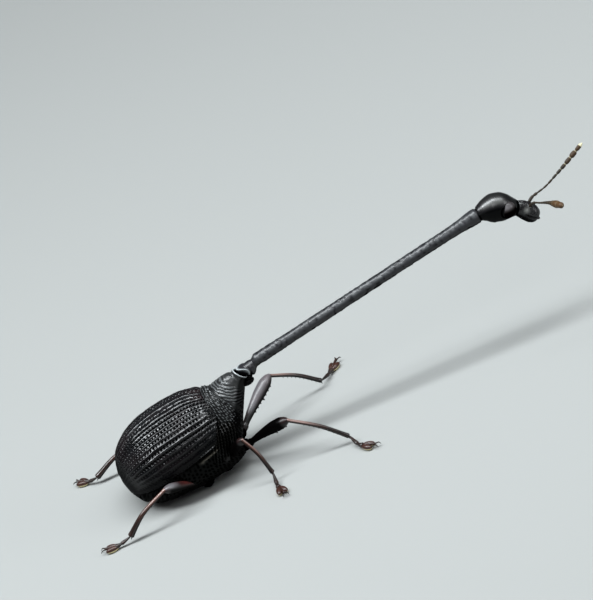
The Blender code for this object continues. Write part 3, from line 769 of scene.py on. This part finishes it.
def make_underbody():
    """Thorax and abdomen in one skin, a little inside the wing cases, with plates, seams and pits.

    A cross section is a swollen ellipse, squarer below. Heights are added along the normals.
    """
    stations = evenly(eased(HIND_BODY, 900), 330)
    angle = turns(300)[None, :]
    above = np.sin(angle) >= 0
    wide_up, high_up = rounded(angle, DORSAL_POWER)
    wide_down, high_down = rounded(angle, VENTRAL_POWER)
    place, height, half_width, up, down = stations.T[..., None]
    y = half_width * np.where(above, wide_up, wide_down)
    z = height + np.where(above, up * high_up, down * high_down)
    x = place + 0 * y
    points = np.stack([x, y, z], axis=-1)

    # Under the wing cases and under the chest the skin sinks.
    margin = case_axis(x) + math.tan(math.radians(CASE_MARGIN_ANGLE)) * abs(y)
    front_edge = CASE_FRONT - CASE_SIDE_RETREAT * (1 - smooth(z, margin, margin + 1.0)) ** 1.5
    covered = smooth(z - margin, -0.10, 0.06) * smooth(front_edge - x, -0.12, 0.06)
    swell = -UNDER_CASES * covered
    swell = swell - 0.30 * smooth(x, -0.24, -0.08) * smooth(z, 2.7, 3.2)

    # Seams cross the belly, a narrow plate runs below the case's edge, and a seam stands upright.
    belly = 1 - smooth(z, 1.0, 1.6)
    for seam in BELLY_SEAMS:
        swell = swell - 0.05 * hump(x, seam + 0.10 * abs(y) / 2, 0.05) * belly
    low_plate = hump(z - margin, -0.20, 0.045)
    low_plate = low_plate * smooth(-x, 0.55, 0.75) * (1 - smooth(-x, 1.5, 1.9))
    knob = hump(np.hypot(x - HIP_KNOB[0], z - HIP_KNOB[1]), 0, 0.13)
    swell = swell + 0.07 * low_plate + 0.07 * knob
    seam_x = CHEST_SEAM[0] + CHEST_SEAM[2] * (z - CHEST_SEAM[1])
    upright = hump(x, seam_x, 0.04) * smooth(z, 1.0, 1.4) * (1 - smooth(z, 3.3, 3.7))
    swell = swell - 0.06 * upright

    # Pits stand in leaning columns between bars at the front, and loosely further back.
    spread = ring_lengths(points)
    column = x / COLUMN_SPACING - COLUMN_LEAN * z + 0.10 * cloudy(z * 3, abs(y) * 3, 45)
    step = z / 0.155 + 0.5 * np.floor(column) + 0.15 * cloudy(x * 5, z * 5, 46)
    between = abs(column - np.floor(column) - 0.5)
    lengthwise = abs(step - np.round(step))
    in_columns = smooth(x, -1.15, -0.85) * smooth(z, 1.3, 1.8)
    column_pit = hump(between, 0, 0.28) * hump(lengthwise, 0, 0.30)
    bar = hump(between, 0.5, 0.18) * in_columns * (1 - covered)
    bar = bar * (0.25 + 0.75 * smooth(lengthwise, 0.2, 0.45))
    loose = pitted(spread / LOOSE_PIT_SPACING, x / LOOSE_PIT_SPACING, 41) * smooth(z, 0.5, 1.0)
    pit = (column_pit * in_columns + 0.5 * loose * (1 - in_columns)) * (1 - covered)
    swell = swell - 0.05 * pit + 0.020 * bar + 0.010 * cloudy(x * 3, spread * 3, 43)
    rings = raised(points, swell * smooth(half_width + 0 * y, 0.0, 0.5))
    rings[..., 2] = np.maximum(rings[..., 2], FLOOR_CLEARANCE)
    # Painted shade and highlights: the skin is painted near black and dull everywhere but on the low plate,
    # the bars and the knob, most of all in the pits, and the low plate and the bars get painted highlights.
    bright = np.clip(low_plate + 0.6 * bar + knob, 0, 1)
    hollow = np.clip(1.2 * pit + 0.8 * (1 - bright), 0, 1)
    pale = 0.9 * low_plate + 0.12 * bar * smooth(z, 1.6, 2.6)
    skin = shell(rings, hollow=hollow, pale=pale)
    make_piece("underbody", [skin], BODY_FINISH, "body_plate", "thorax", "abdomen")


# Prothorax, neck and head

def make_prothorax():
    """The chest cone with its wrinkles, its flared collar, and the lobe under the collar.

    A groove runs from the top of the hind rim obliquely down and forward. Above it the wrinkles
    are sines across a leaning axis, and below it lie beads on a staggered lattice.
    """
    outside = evenly(eased(PROTHORAX, 600), 210)
    cup = evenly(eased((PROTHORAX[-1],) + COLLAR_CUP, 100), 24)[1:]
    angle = turns(300)
    points = cross_rings(np.concatenate([outside, cup]), angle)
    x, y, z = np.moveaxis(points, -1, 0)
    along = np.concatenate([np.linspace(0, 1, len(outside)), np.ones(len(cup)) * 1.2])[:, None] + 0 * x
    outer = along < 1
    upper = smooth(z - (RIB_FOOT[0] + RIB_FOOT[1] * x), -0.35, 0.35) * outer
    phase = (x * math.cos(WRINKLE_LEAN) + z * math.sin(WRINKLE_LEAN)) / WRINKLE_SPACING
    phase = phase + 0.40 * cloudy(x * 3, y * 3 + 20, 51) + 0.12 * cloudy(x * 9, y * 9 + 20, 52)
    wrinkle = np.sin(2 * math.pi * phase)
    over_groove = z - GROOVE_TOP[1] + GROOVE_SLOPE * (x - GROOVE_TOP[0])
    strong = upper * smooth(over_groove, 0.02, 0.14) * (1 - smooth(along, 0.70, 0.82))

    # Way round each ring and way forward, for the lattices of pits and beads.
    around = ring_lengths(points)
    steps = np.linalg.norm(np.diff(outside[:, :2], axis=0, prepend=outside[:1, :2]), axis=1)
    travel = np.cumsum(np.concatenate([steps, np.zeros(len(cup))]))[:, None] + 0 * x
    side_pits = pitted(around / SIDE_PIT_SPACING, travel / SIDE_PIT_SPACING, 55) * (1 - upper)
    side_pits = side_pits * (along < 0.9) * smooth(along, 0.15, 0.3)
    base = (1 - smooth(over_groove, -0.06, 0.04)) * (1 - smooth(x, 0.80, 1.05)) * smooth(z, 2.1, 2.9)
    beads = pitted(around / BEAD_SPACING[0], travel / BEAD_SPACING[1], 57) * base
    rim = hump(over_groove, -0.06, 0.05) - 1.2 * hump(over_groove, 0.05, 0.05)
    rim = rim * (1 - smooth(x, 0.8, 1.1)) * smooth(z, 2.8, 3.3)
    wart = hump(np.hypot(x - WART[0], z - WART[1]), 0, WART_WIDTH)
    swell = 0.012 * wrinkle * strong - 0.055 * side_pits + 0.045 * beads
    swell = swell + (0.025 * rim + 0.006 * cloudy(x * 14, y * 14 + 30, 58) + 0.05 * wart) * outer
    rings = raised(points, swell)

    # Painted highlights on the collar's edge, the beads, the wrinkle crests and the upper side, and painted
    # shade on the pits, around the beads, in the rim's groove and the wrinkle troughs, on the underside and
    # in the cup.
    under = 0.85 * smooth(-np.sin(angle), -0.05, 0.25)
    hollow = 1.3 * side_pits + 0.8 * base * (1 - beads) + 0.6 * np.clip(-rim, 0, 1)
    hollow = hollow + 0.5 * strong * smooth(-wrinkle, 0.3, 1.0) + (along > 1.1) + under
    edge_highlight = hump(np.arange(len(points))[:, None] + 0 * x, len(outside), 4.0)
    hollow = np.clip(hollow - edge_highlight - beads, 0, 1)
    crest_highlight = 0.14 * strong * smooth(wrinkle, 0.0, 0.9) + 0.03 * upper
    pale = np.maximum(edge_highlight, np.maximum(0.30 * beads, crest_highlight))
    shells = [shell(rings, hollow=hollow, pale=pale)]
    # The two lobes under the collar are painted in shade.
    shells += [shell(blob(*lobe), hollow=0.9) for lobe in (LOBE, LOBE_ROOT)]
    make_piece("chest", shells, CHEST_FINISH, "body_plate", "prothorax")


def make_neck():
    """The knob in the collar and the long rod, crossed by fine uneven wrinkles."""
    slope = (math.cos(NECK_PITCH), math.sin(NECK_PITCH), math.degrees(NECK_PITCH))
    rod = [(ROD_START[0] + length * slope[0], ROD_START[1] + length * slope[1], slope[2], radius)
           for length, radius in ROD]
    rows = evenly(eased([(*row, row[-1]) for row in (*KNOB, *rod)], 3000), 760)
    angle = turns(84)
    points = cross_rings(rows, angle)
    place = rows[:, :1]
    notched = smooth(place, 1.95, 2.06) * (1 - smooth(place, 2.14, 2.60)) * np.cos(angle) ** 2
    tilt = np.radians(rows[:, 2:3])
    points[..., 0] += FLANGE_NOTCH * notched * np.cos(tilt)
    points[..., 2] += FLANGE_NOTCH * notched * np.sin(tilt)
    along = np.linspace(0, ROD_LENGTH + 1, len(rows))[:, None] + 0 * angle
    around = 12 * angle[None, :] / (2 * math.pi)
    ripple = cloudy(along * 7 + 0.6 * cloudy(along, around, 61, 12), around, 62, 12)
    fine = cloudy(along * 17, around * 2, 63, 24)
    on_rod = smooth(along, 1.1, 1.4)
    rings = raised(points, (0.014 * ripple + 0.004 * fine) * (0.10 + 0.90 * on_rod))
    # Painted shade in the wrinkle troughs, on the underside and inside the collar, a painted highlight on
    # the flange's edge, and a painted sheen along the rod's upper side.
    hollow = 0.6 * smooth(-ripple, 0.2, 0.9) * on_rod + 0.9 * smooth(-np.sin(angle), 0.2, 0.8)
    inside = 1 - smooth(place, 2.00, 2.06)
    edge_highlight = hump(place, 2.085, 0.045) + 0 * angle
    hollow = np.clip(hollow + inside - edge_highlight, 0, 1)
    sheen = 0.10 * hump(np.sin(angle), 0.62, 0.36) * (0.5 + 0.5 * smooth(ripple, -0.4, 0.5)) * on_rod
    skin = shell(rings, hollow=hollow, pale=np.maximum(edge_highlight, sheen))
    make_piece("neck_rod", [skin], NECK_FINISH, "neck_black", "neck")


def make_head():
    """The smooth bulb, with a low brow over each eye and a narrow ring of painted shade before the snout.
    """
    rows = evenly(eased(HEAD, 600), 150)
    angle = turns(128)
    points = cross_rings(rows, angle)
    x, y, z = np.moveaxis(points, -1, 0)
    away = np.hypot(x - EYE_PLACE[0], z - EYE_PLACE[1])
    on_side = smooth(abs(y), 0.25, 0.4)
    socket = hump(away, EYE_RADIUS, 0.03) * on_side
    seam = hump(x + 0.2 * (z - BULB_SEAM[1]), BULB_SEAM[0], 0.025)
    swell = -0.015 * socket + 0.006 * hump(away, EYE_RADIUS + 0.09, 0.06) * on_side
    rings = raised(points, swell - 0.02 * seam + 0.002 * cloudy(x * 6, z * 6, 71))
    # Painted shade on the underside, in the eye's socket and the seam and on the ring before the snout, and
    # a painted highlight band along the bulb's upper side.
    under = 0.86 * smooth(-np.sin(angle), -0.50, -0.26)
    ring_shade = smooth(x + 0.4 * (7 - z), 18.0, 18.12)
    hollow = np.clip(under + 0.8 * socket + 0.6 * seam + ring_shade, 0, 1)
    sheen = 0.34 * hump(np.sin(angle), 0.74, 0.15)
    sheen = sheen * smooth(x, 16.30, 16.60) * (1 - smooth(x, 17.45, 17.85))
    bulb = shell(rings, hollow=hollow, pale=sheen)
    make_piece("head_bulb", [bulb], HEAD_FINISH, "neck_black", "head")


def make_eye(side):
    """A low dome: its height is the sine, and its radius the cosine, of a rising angle."""
    x, z = EYE_PLACE
    rise = np.linspace(-0.25, 0.98, 40) * math.pi / 2
    out = side * (EYE_BASE + (EYE_REACH - EYE_BASE) * np.sin(rise))
    path = np.stack([0 * rise + x, out, 0 * rise + z], axis=-1)
    rings = tube(path, EYE_BALL_RADIUS * np.cos(rise), 64)
    # Painted shade on the dome's lower part, and a painted highlight near its top.
    low = smooth(z - rings[..., 2], -0.20, 0.02)
    eye_highlight = 0.45 * hump(rings[..., 2], z + 0.24, 0.12) * hump(rings[..., 0], x + 0.02, 0.30)
    name = SIDE_NAMES[side]
    dome = shell(rings, hollow=low, pale=eye_highlight)
    make_piece(f"eye_dome_{name}", [dome], EYE_FINISH, "eye", f"eye_{name}")


def make_snout():
    """The short bent snout, with a lump at each feeler's root, side grooves, fine pits and jaws."""
    rows = evenly(eased(SNOUT, 500), 130)
    angle = turns(120)
    points = cross_rings(rows, angle)
    x, y, z = np.moveaxis(points, -1, 0)
    root = np.array(FEELER_ROOT)
    away = np.sqrt((x - root[0] + 0.16) ** 2 + (abs(y) - root[1]) ** 2 + (z - root[2] + 0.2) ** 2)
    lump = hump(away, 0, 0.16)
    groove_x, groove_z, slope = SNOUT_GROOVE
    groove = hump(z - groove_z - slope * (groove_x - x), 0, 0.06)
    groove = groove * smooth(abs(y), 0.2, 0.35) * smooth(x, 18.3, 18.45)
    spots = pitted(x / 0.11, (z + abs(y)) / 0.11, 81)
    swell = 0.07 * lump - 0.05 * groove - 0.02 * spots * smooth(x, 18.15, 18.3)
    swell = swell + 0.03 * hump(y, 0, 0.07) * smooth(z, 6.4, 6.7)
    rings = raised(points, swell)
    # Painted shade on the underside, in the side grooves and in the pits, and a painted highlight on each
    # cheek.
    under = 0.9 * smooth(-np.sin(angle), 0.1, 0.6)
    cheek_highlight = 0.9 * hump(np.hypot(x - CHEEK[0], z - CHEEK[1]), 0, 0.13) * smooth(abs(y), 0.15, 0.25)
    hollow = np.clip(under + 0.8 * groove + 0.5 * spots - 2 * cheek_highlight, 0, 1)
    shells = [shell(rings, hollow=hollow, pale=cheek_highlight)]
    tip = np.array([SNOUT[-1][0], 0, SNOUT[-1][1]])
    pitch = math.radians(SNOUT[-1][2])
    ahead = np.array([math.cos(pitch), 0, math.sin(pitch)])
    for side in (RIGHT, LEFT):
        aside = np.array([0, side, 0])
        path = route([tip + reach * ahead + out * aside for reach, out in JAW_REACH], 24)
        shells.append(shell(tube(path, 0.12 * np.linspace(1, 0.4, 24) ** 0.7, 20, 0.8), tint=0.6))
    make_piece("snout", shells, HEAD_FINISH, "neck_black", "rostrum")


def make_feeler(side):
    """A feeler of eleven joints, each narrow at both ends, the last three a club, which has a pale tip on
    the left feeler.
    """
    root = np.array(FEELER_ROOT)
    points = [root + np.array(offset) for offset in FEELER_ROUTES[side]]
    count = 330
    path = route(points, count)
    path[:, 1] *= side
    share = np.linspace(0, 1, count)
    ends = np.cumsum([0] + [length for length, _ in FEELER_JOINTS])
    joint = np.clip(np.searchsorted(ends, share, side="right") - 1, 0, len(FEELER_JOINTS) - 1)
    lengths, widths = np.array(FEELER_JOINTS).T
    within = (share - ends[joint]) / lengths[joint]
    bulge = np.clip(1 - abs(2 * within - 1.10) ** 4.0, 0, 1) ** 0.5
    narrow = 0.62 if side == LEFT else 0.62 + 0.36 * smooth(share, 0.6, 0.7)
    neck = narrow * np.interp(share, ends[:-1] + lengths / 2, widths)
    radii = np.maximum(widths[joint] * bulge, neck * np.where(share > 0.985, 0, 1))
    radii = radii * np.sqrt(np.clip((1.002 - share) / 0.05, 0.01, 1))
    if side == RIGHT:
        radii = radii * (1 + 0.40 * smooth(share, 0.6, 0.8))
    rings = tube(path, radii, 22)
    ring_share = share[:, None] + np.zeros((1, 22))
    joints = (np.minimum(within, 1 - within) < 0.06)[:, None] * smooth(ring_share, 0.3, 0.7)
    joints = joints * (0.3 if side == LEFT else 0.1)
    pale = np.clip(joints + 0.9 * smooth(ring_share, 0.945, 0.96) * (side == LEFT), 0, 1)
    tint = smooth(ring_share, 0.60, 0.85) * (0.45 if side == LEFT else 0.9)
    name = SIDE_NAMES[side]
    feeler = shell(rings, pale=pale, tint=tint)
    make_piece(f"feeler_{name}", [feeler], FEELER_FINISH, "feeler", f"antenna_{name}")


# Legs

def leg_points(place, side):
    return [np.array([x, side * out, z]) for x, out, z in LEGS[place, side]]


def spike(root, tip, radius, sides=10):
    """A slender cone from a sunk root to a blunt tip."""
    path = np.linspace(root, tip, 6)
    return shell(tube(path, radius * np.linspace(1, 0.15, 6), sides))


def make_thigh(place, side, name):
    """The coxa, a short ring, and the club-shaped thigh, toothed below on the front legs."""
    hip, knee = leg_points(place, side)[:2]
    straight = knee - hip
    along = straight / np.linalg.norm(straight)
    club = CLUB_RADIUS[place]
    share = np.linspace(-0.04, 1.03, 90)
    radii = club * outline_at(THIGH_OUTLINE, share)
    radii[0] *= 0.3
    path = hip + share[:, None] * straight
    path[:, 2] += THIGH_ARCH * np.sin(math.pi * np.clip(share, 0, 1))
    rings = tube(path, radii, 44, 0.92)
    share, crest = share[:, None], np.sin(turns(44))[None, :]
    upper = smooth(crest, -0.3, 0.5)
    tint = THIGH_RED[place] * hump(share, 0.50, 0.18) + 0.20 * smooth(share, 0.88, 1.0)
    # Painted shade on the underside and over the whole of some thighs, less at the knee, and a painted
    # sheen along the upper side of two thighs.
    hollow = np.maximum(THIGH_PAINTED_SHADE[place, side], 0.9 * (1 - upper))
    hollow = hollow * (1 - 0.7 * smooth(share, 0.90, 0.97))
    start = THIGH_SHEEN_START[place]
    thigh_sheen = THIGH_SHEEN.get((place, side), 0.0) * smooth(share, start, start + 0.2)
    thigh_sheen = thigh_sheen * hump(crest, 0.75, 0.5)
    shells = [shell(rings, tint=tint * (0.3 + 0.7 * upper), hollow=hollow, pale=thigh_sheen)]
    # The coxa is painted in full shade.
    coxa = blob(hip - 0.06 * along + (0, 0, 0.12), straight * (1, 1, 0), 0.36, 0.32, 0.34, 20, 32)
    shells.append(shell(coxa, hollow=1.0))
    under = np.array([0.55, 0, -1.0])
    under -= along * under.dot(along)
    under /= np.linalg.norm(under)
    for number in range(THIGH_TEETH if place == "front" else 0):
        where = 0.40 + 0.47 * number / (THIGH_TEETH - 1)
        depth = club * float(outline_at(THIGH_OUTLINE, where))
        root = hip + where * straight + np.array([0, 0, THIGH_ARCH * math.sin(math.pi * where)])
        size = 0.13 if number == THIGH_TEETH // 2 else 0.07
        shells.append(spike(root + 0.8 * depth * under, root + (depth + size) * under, 0.12))
    make_piece(f"thigh_{name}", shells, THIGH_FINISH, "leg", f"leg_{name}")


def make_shin(place, side, name):
    """The slender bowed shin, wider at its end, with a comb of small teeth inside and a spur."""
    _, knee, shin_end = leg_points(place, side)[:3]
    bow = (knee + shin_end) / 2 + np.array(SHIN_BOW[place]) * (1, side, 1)
    path = route([knee - 0.03 * (shin_end - knee), bow, shin_end], 100)
    share = np.linspace(0, 1, 100)
    end = SHIN_END_SWELL[place]
    stations = ((0, 0.5), (0.03, 1.05), (0.09, 0.92), (0.25, 0.95), (0.65, 0.5 + 0.5 * end),
                (0.92, end), (0.98, 1.08 * end), (1, 0.7 * end))
    rings = tube(path, SHIN_RADIUS * outline_at(stations, share), 30, 0.92)
    share, crest = share[:, None], np.sin(turns(30))[None, :]
    tint = (0.8 - 0.6 * smooth(share, 0.4, 0.8)) * (0.25 if place == "front" else 1)
    # A painted highlight along the top near the knee, and painted shade on the underside.
    pale = 0.5 * smooth(crest, 0.2, 0.8) * (1 - smooth(share, 0.2, 0.6))
    shells = [shell(rings, tint=tint, pale=pale, hollow=0.9 * smooth(-crest, -0.2, 0.5))]
    down = (shin_end - knee) / np.linalg.norm(shin_end - knee)
    inward = np.array([0, 0, -1.0]) + down * down[2]
    inward /= np.linalg.norm(inward)
    for where in np.linspace(0.3, 0.9, 9):
        root = path[int(where * 99)] + 0.6 * SHIN_RADIUS * inward
        shells.append(spike(root, root + 0.10 * inward + 0.03 * down, 0.035, 8))
    root = shin_end + 0.6 * SHIN_RADIUS * inward - 0.04 * down
    shells.append(spike(root, root + 0.16 * down + 0.08 * inward, 0.045, 8))
    make_piece(f"shin_{name}", shells, SHIN_FINISH, "leg")


def make_foot(place, side, name):
    """Two cone-shaped joints, the broad double lobe with pale pads, and the slender claw joint."""
    _, _, shin_end, bend, claw = leg_points(place, side)
    path = route([shin_end, bend, claw], 200)
    shells = []
    last = len(path) - 1
    for start, stop, thin, broad in TARSUS_JOINTS:
        part = path[int(start * last):int(stop * last)]
        share = np.linspace(0, 1, len(part))
        sizes = (0.4 * thin, thin, broad, 0.9 * broad, 0.3 * broad)
        radii = np.interp(share, (0, 0.12, 0.8, 0.95, 1), sizes)
        shells.append(shell(tube(part, radii, 24, 0.85), tint=0.15 * share[:, None]))
    middle = path[int(0.74 * last)]
    ahead = path[int(0.85 * last)] - path[int(0.6 * last)]
    ahead[2] = 0
    ahead /= np.linalg.norm(ahead)
    aside = np.array([-ahead[1], ahead[0], 0])
    for way in (-1, 1):
        centre = np.array([middle[0], middle[1], LOBE_HEIGHT]) + 0.13 * way * aside
        rings = blob(centre, ahead + 0.25 * way * aside, *LOBE_SIZE, 24, 28)
        pale = smooth(0.13 - rings[..., 2], -0.02, 0.03)
        shells.append(shell(rings, pale=pale, tint=0.6))
    part = path[int(0.7 * last):] + np.array([0, 0, 0.06])
    share = np.linspace(0, 1, len(part))
    radii = np.interp(share, (0, 0.1, 0.7, 0.95, 1), (0.02, 0.05, 0.07, 0.08, 0.03))
    shells.append(shell(tube(part, radii, 20), tint=0.3))
    make_piece(f"foot_{name}", shells, FOOT_FINISH, "leg")
    make_claws(bend, claw, name)


def make_claws(bend, claw, name):
    """Two bent claws, which part from the end of the foot and turn down at their tips."""
    ahead = (claw - bend) / np.linalg.norm(claw - bend)
    aside = np.array([-ahead[1], ahead[0], 0])
    shells = []
    for way in (-1, 1):
        root = claw - 0.05 * ahead + way * 0.03 * aside
        knuckle = claw + 0.5 * CLAW_LENGTH * ahead + way * 0.13 * aside + np.array([0, 0, 0.02])
        tip = claw + CLAW_LENGTH * ahead + way * 0.15 * aside - np.array([0, 0, 0.09])
        bent = route(np.array([root, knuckle, tip]) + (0, 0, 0.06), 20)
        shells.append(shell(tube(bent, 0.042 * np.linspace(1, 0.12, 20) ** 0.6, 14)))
    make_piece(f"claws_{name}", shells, CLAW_FINISH, "leg")


# Stand, lights and camera

def plain_material(name, colour, roughness):
    material = bpy.data.materials.new(name)
    material.use_nodes = True
    shader = material.node_tree.nodes["Principled BSDF"]
    shader.inputs["Base Color"].default_value = (*colour, 1)
    shader.inputs["Roughness"].default_value = roughness
    return material


def make_floor():
    reach = 400 * MM
    corners = [(-reach, -reach, 0), (reach, -reach, 0), (reach, reach, 0), (-reach, reach, 0)]
    mesh = bpy.data.meshes.new("floor")
    mesh.from_pydata(corners, [], [(0, 1, 2, 3)])
    mesh.materials.append(plain_material("pale floor", (0.26, 0.267, 0.26), 0.9))
    floor = bpy.data.objects.new("floor", mesh)
    bpy.context.scene.collection.objects.link(floor)


def make_light(name, place, aim, length, width, power, colour):
    """An oblong soft light that faces a point on the animal, its length along the body."""
    data = bpy.data.lights.new(name, "AREA")
    data.shape = "RECTANGLE"
    data.size = length * MM
    data.size_y = width * MM
    data.energy = power
    data.color = colour
    light = bpy.data.objects.new(name, data)
    bpy.context.scene.collection.objects.link(light)
    place, aim = np.array(place, float), np.array(aim, float)
    back = (place - aim) / np.linalg.norm(place - aim)
    side = np.cross((0.0, 1.0, 0.0), back)
    side /= np.linalg.norm(side)
    turned = np.stack([side, np.cross(back, side), back], axis=-1)
    light.matrix_world = Matrix.Translation((place * MM).tolist()) @ Matrix(turned.tolist()).to_4x4()


def make_lights():
    make_light("overhead", (15, -14, 150), (0, 0, 3), 310, 52, 0.28, (0.92, 0.97, 1.0))
    make_light("bright overhead", (-28, 0, 140), (0, 0, 3), 220, 34, 0.37, (0.92, 0.97, 1.0))
    make_light("rear overhead", (-104, 8, 142), (0, 0, 3), 46, 32, 0.05, (0.92, 0.97, 1.0))
    make_light("camera side", (6, -100, 118), (6, 0, 4), 90, 50, 0.045, (0.95, 0.97, 1.0))
    make_light("front", (139, -58, 54), (0, 0, 3), 60, 60, 0.05, (0.97, 0.99, 1.0))
    world = bpy.data.worlds.new("studio")
    world.use_nodes = True
    background = world.node_tree.nodes["Background"]
    background.inputs["Color"].default_value = (0.92, 0.95, 1.0, 1)
    background.inputs["Strength"].default_value = 0.14
    bpy.context.scene.world = world


def make_camera():
    """The camera on a sloped line to the middle of the picture, rolled, with a long lens."""
    data = bpy.data.cameras.new("camera")
    data.lens = CAMERA_LENS
    data.sensor_width = CAMERA_SENSOR
    distance = PICTURE_HEIGHT * PIXEL * CAMERA_LENS / CAMERA_SENSOR
    data.clip_start = 0.1 * distance * MM
    data.clip_end = 20 * distance * MM
    sine, cosine = math.sin(CAMERA_SLOPE), math.cos(CAMERA_SLOPE)
    turn, lean = math.cos(CAMERA_ROLL), math.sin(CAMERA_ROLL)
    right = np.array([turn, -lean * sine, -lean * cosine])
    up = np.array([lean, turn * sine, turn * cosine])
    back = np.array([0, -cosine, sine])
    place = (WAIST + np.array(PICTURE_MIDDLE) + distance * back) * MM
    camera = bpy.data.objects.new("camera", data)
    bpy.context.scene.collection.objects.link(camera)
    turned = Matrix(np.stack([right, up, back], axis=-1).tolist()).to_4x4()
    camera.matrix_world = Matrix.Translation(place.tolist()) @ turned
    bpy.context.scene.camera = camera
    bpy.context.scene.view_settings.view_transform = "Standard"


def main():
    make_camera()
    make_underbody()
    make_prothorax()
    make_neck()
    make_head()
    make_snout()
    for side in (RIGHT, LEFT):
        make_wing_case(side)
        make_eye(side)
        make_feeler(side)
    for place, side in LEGS:
        name = f"{place}_{SIDE_NAMES[side]}"
        make_thigh(place, side, name)
        make_shin(place, side, name)
        make_foot(place, side, name)
    make_floor()
    make_lights()


main()
